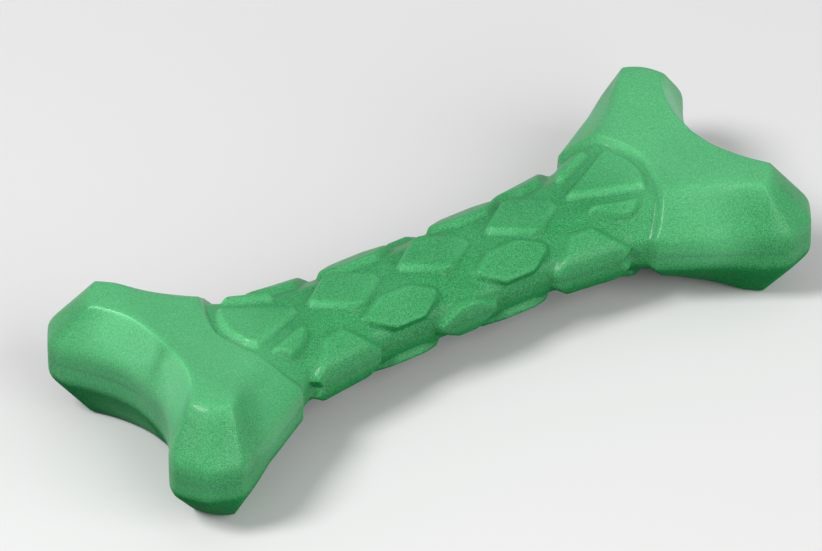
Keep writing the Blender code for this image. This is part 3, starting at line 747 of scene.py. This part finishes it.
def add_closed(name, grid):
    """A grid that closes on itself, as an object, with its doubles joined and faces outwards."""
    points, numbers = numbered([grid])
    points, number = welded(points)
    triangles = triangles_of(number[grid_quads(numbers[0])])
    a, b, c = (points[triangles[:, corner]] for corner in range(3))
    if (np.cross(a, b) * c).sum() < 0:
        triangles = triangles[:, ::-1]
    return add_object(name, points, triangles)


def add_hub_hollow():
    """The shaft's section, inset by the wall, from hub to hub, closed at each end."""
    x = np.linspace(-CAVITY_END, CAVITY_END, HOLLOW_ROWS)
    places = np.linspace(0, 3, HOLLOW_COLUMNS)
    quarter = across_section(inset_section(abs(x), WALL), places)
    along = np.broadcast_to(x[:, None, None], quarter.shape[:2] + (1,))
    ring = closed_ring(np.concatenate([along, quarter], -1))
    ends = [ring[index] * [1, 0, 0] for index in (0, -1)]
    return add_closed("hub_hollow", np.concatenate([ends[:1], ring, ends[1:]]))


def add_pocket(x_side, y_side):
    """An egg-shaped hollow in an arm: a sphere's grid stretched, turned and moved into place."""
    turn, climb = np.meshgrid(np.linspace(0, 2 * math.pi, HOLLOW_COLUMNS),
                              np.linspace(0, math.pi, HOLLOW_COLUMNS))
    sphere = [np.sin(climb) * np.cos(turn), np.sin(climb) * np.sin(turn), np.cos(climb)]
    local = np.stack(sphere, -1) * np.array(POCKET_SIZE) / 2
    crease = arm_point(0.0, 0.0)
    forward, sideways = arm_point(1.0, 0.0) - crease, arm_point(0.0, 1.0) - crease
    plan = crease + forward * (local[..., :1] - POCKET_SETBACK) + sideways * local[..., 1:2]
    return add_closed("arm_pocket", np.concatenate([plan * [x_side, y_side], local[..., 2:]], -1))


def add_vent():
    """A cylinder through the lower wall, under the squeaker. Its first and last rows close it."""
    turn, row = np.meshgrid(np.linspace(0, 2 * math.pi, VENT_STEPS + 1), range(4))
    radius = VENT_DIAMETER / 2 * ((row == 1) | (row == 2))
    height = np.where(row < 2, -HEIGHT, SQUEAKER_LOW - MID_Z)
    x, y = SQUEAKER_X + radius * np.cos(turn), radius * np.sin(turn)
    return add_closed("vent", np.stack([x, y, height], -1))


def add_shells(rubber):
    skin = Skin()
    for name, side, node in (("upper_half", 1, "upper_shell"), ("lower_half", -1, "lower_shell")):
        shell = skin.half(name, side)
        cut(shell, add_hub_hollow())
        for x_side in (1, -1):
            for y_side in (1, -1):
                cut(shell, add_pocket(x_side, y_side))
        if side < 0:
            cut(shell, add_vent())
        shell.data.polygons.foreach_set("use_smooth", np.ones(len(shell.data.polygons), bool))
        shell.data.set_sharp_from_angle(angle=SHARP_ANGLE)
        shell.data.materials.clear()
        shell.data.materials.append(rubber)
        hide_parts(node)
        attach(shell, "toy")


# Finishes

class Socket:
    """A node's output, with the sums that shader maths needs."""

    def __init__(self, nodes, output):
        self.nodes, self.output = nodes, output

    def math(self, operation, *others):
        return self.nodes.add("ShaderNodeMath", {"operation": operation}, self, *others)

    def __add__(self, other):
        return self.math("ADD", other)

    def __sub__(self, other):
        return self.math("SUBTRACT", other)

    def __mul__(self, other):
        return self.math("MULTIPLY", other)

    def clamped(self):
        return self.nodes.add("ShaderNodeClamp", {}, self)


class Nodes:
    """The nodes of one finish."""

    def __init__(self, name):
        self.material = bpy.data.materials.new(name)
        self.material.use_nodes = True
        self.tree = self.material.node_tree
        self.shader = self.tree.nodes["Principled BSDF"]

    def put(self, socket, value):
        if isinstance(value, Socket):
            self.tree.links.new(value.output, socket)
        elif isinstance(value, (tuple, list)) and socket.type == "RGBA":
            socket.default_value = (*value, 1.0)[:4]
        else:
            socket.default_value = value

    def add(self, kind, settings, *values, output=0, **named):
        """A node of a kind, with its settings and then its sockets, by place or by name."""
        node = self.tree.nodes.new(kind)
        for name, value in settings.items():
            setattr(node, name, value)
        for place, value in enumerate(values):
            self.put(node.inputs[place], value)
        for name, value in named.items():
            self.put(node.inputs[name.replace("_", " ")], value)
        return Socket(self, node.outputs[output])

    def place(self, kind="Object"):
        return self.add("ShaderNodeTexCoord", {}, output=kind)

    def axis(self, kind, letter):
        return self.add("ShaderNodeSeparateXYZ", {}, self.place(kind), output=letter)

    def noise(self, size, detail):
        """Noise from 0 to 1 whose lumps are about size across."""
        return self.add("ShaderNodeTexNoise", {}, self.place(), output="Fac",
                        Scale=1 / size, Detail=detail)

    def blend(self, factor, one, two):
        node = self.tree.nodes.new("ShaderNodeMix")
        node.data_type = "RGBA"
        self.put(node.inputs["Factor"], factor)
        self.put(node.inputs[6], one)
        self.put(node.inputs[7], two)
        return Socket(self, node.outputs[2])

    def finish(self, **values):
        for name, value in values.items():
            self.put(self.shader.inputs[name.replace("_", " ")], value)
        return self.material


def green_rubber():
    """Milky green rubber: cloudy, finely grained, and matt where it faces down.

    Its colour carries painted light and shade: painted shade makes it deep green where it faces
    down, and painted light makes it lighter the more it faces straight up or down, towards the
    ends, and wherever the skin's own attribute says so, which paints shade too.
    """
    nodes = Nodes("green_rubber")
    cloud = nodes.noise(CLOUD_SIZE, detail=3.0)
    grain = nodes.noise(GRAIN_SIZE, detail=1.0)
    up = nodes.axis("Normal", "Z")
    # Painted light towards the ends, growing with the distance from the middle.
    away = nodes.axis("Object", "X").math("ABSOLUTE")
    end_light = ((away - END_LIGHT_START) * (1 / END_LIGHT_REACH)).clamped()
    painted_light_and_shade = nodes.add("ShaderNodeAttribute", {"attribute_name": "painted_light_and_shade"}, output="Fac")
    # Painted shade where the skin faces down; the same mask also makes it rougher and takes off its
    # coat.
    under = (up * -UNDER_GROWTH + UNDER_START).clamped()
    # Painted light and shade: lighter the more it faces straight up or down, towards the ends and
    # where the skin's attribute paints light, darker where it faces down or the attribute paints
    # shade. The cloud is the rubber's own random tone.
    light = (up.math("ABSOLUTE") * FACING_LIGHT + end_light * END_LIGHT + cloud * CLOUD_LIGHT
             + painted_light_and_shade + under * UNDER_LIGHT + LEAST_LIGHT).clamped()
    light = (light * LIGHT_SPAN + (grain - 0.5) * GRAIN_CONTRAST + DEEPEST_LIGHT).clamped()
    bump = nodes.add("ShaderNodeBump", {}, Strength=0.3, Distance=0.0002, Height=grain)
    return nodes.finish(Base_Color=nodes.blend(light, DEEP_GREEN, LIT_GREEN), Normal=bump,
                        Roughness=grain * GRAIN_ROUGHNESS + under * UNDER_ROUGHNESS + SHEEN_ROUGHNESS,
                        Subsurface_Weight=0.6, Subsurface_Radius=(0.25, 1.0, 0.4),
                        Subsurface_Scale=0.004, IOR=1.45, Specular_IOR_Level=0.25,
                        Coat_Weight=under * -COAT + COAT, Coat_Roughness=0.08)


def plain_plastic(name, dark, light, roughness):
    """Moulded plastic with a faint cloud in its colour and a fine grain."""
    nodes = Nodes(name)
    cloud = nodes.noise(PLASTIC_CLOUD_SIZE, detail=3.0)
    grain = nodes.noise(GRAIN_SIZE, detail=2.0)
    bump = nodes.add("ShaderNodeBump", {}, Strength=0.15, Distance=0.0001, Height=grain)
    return nodes.finish(Base_Color=nodes.blend(cloud, dark, light), Normal=bump,
                        Roughness=grain * 0.1 + roughness)


def dress_squeaker():
    case = plain_plastic("squeaker_case", *CASE_FINISH)
    film = plain_plastic("reed_film", *FILM_FINISH)
    for name in ("squeaker_cup", "squeaker_cap", "reed_holder", "squeaker_reed"):
        finish = film if name == "squeaker_reed" else case
        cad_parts[name].material_slots[0].material = finish


# Stage

def add_camera():
    away = Vector(VIEW_DIRECTION).normalized()
    data = bpy.data.cameras.new("camera")
    data.lens, data.sensor_width = LENS_MM, SENSOR_MM
    data.shift_x = -OBJECT_RIGHT_PX / PHOTO_WIDTH
    data.shift_y = OBJECT_DOWN_PX / PHOTO_WIDTH
    data.clip_end = CLIP_END
    camera = link(bpy.data.objects.new("camera", data))
    camera.location = Vector((0.0, 0.0, MID_Z)) + away * VIEW_DISTANCE
    camera.rotation_euler = (-away).to_track_quat("-Z", "Y").to_euler()
    bpy.context.scene.camera = camera


def add_lamp(name, location, size, power):
    data = bpy.data.lights.new(name, "AREA")
    data.shape, data.size, data.energy = "DISK", size, power
    lamp = link(bpy.data.objects.new(name, data))
    lamp.location = location
    towards = Vector((0, 0, MID_Z)) - lamp.location
    lamp.rotation_euler = towards.to_track_quat("-Z", "Y").to_euler()


def add_floor():
    mesh = bpy.data.meshes.new("floor")
    reach = FLOOR_SIZE / 2
    corners = [(-reach, -reach, 0.0), (reach, -reach, 0.0), (reach, reach, 0.0), (-reach, reach, 0.0)]
    mesh.from_pydata(corners, [], [(0, 1, 2, 3)])
    floor = link(bpy.data.objects.new("floor", mesh))
    nodes = Nodes("floor_paper")
    camera, glossy, through = (nodes.add("ShaderNodeLightPath", {}, output=f"Is {ray} Ray")
                               for ray in ("Camera", "Glossy", "Transmission"))
    colour = nodes.blend((camera + glossy + through).clamped(), FLOOR_BOUNCE, FLOOR_COLOUR)
    mesh.materials.append(nodes.finish(Base_Color=colour, Roughness=FLOOR_ROUGHNESS))


def add_world():
    world = bpy.data.worlds.new("studio")
    world.use_nodes = True
    background = world.node_tree.nodes["Background"]
    background.inputs["Color"].default_value = (*WORLD_COLOUR, 1.0)
    background.inputs["Strength"].default_value = WORLD_STRENGTH
    bpy.context.scene.world = world


add_camera()
add_floor()
add_world()
for lamp in LAMPS:
    add_lamp(*lamp)
bpy.context.scene.view_settings.view_transform = "Standard"
add_shells(green_rubber())
dress_squeaker()
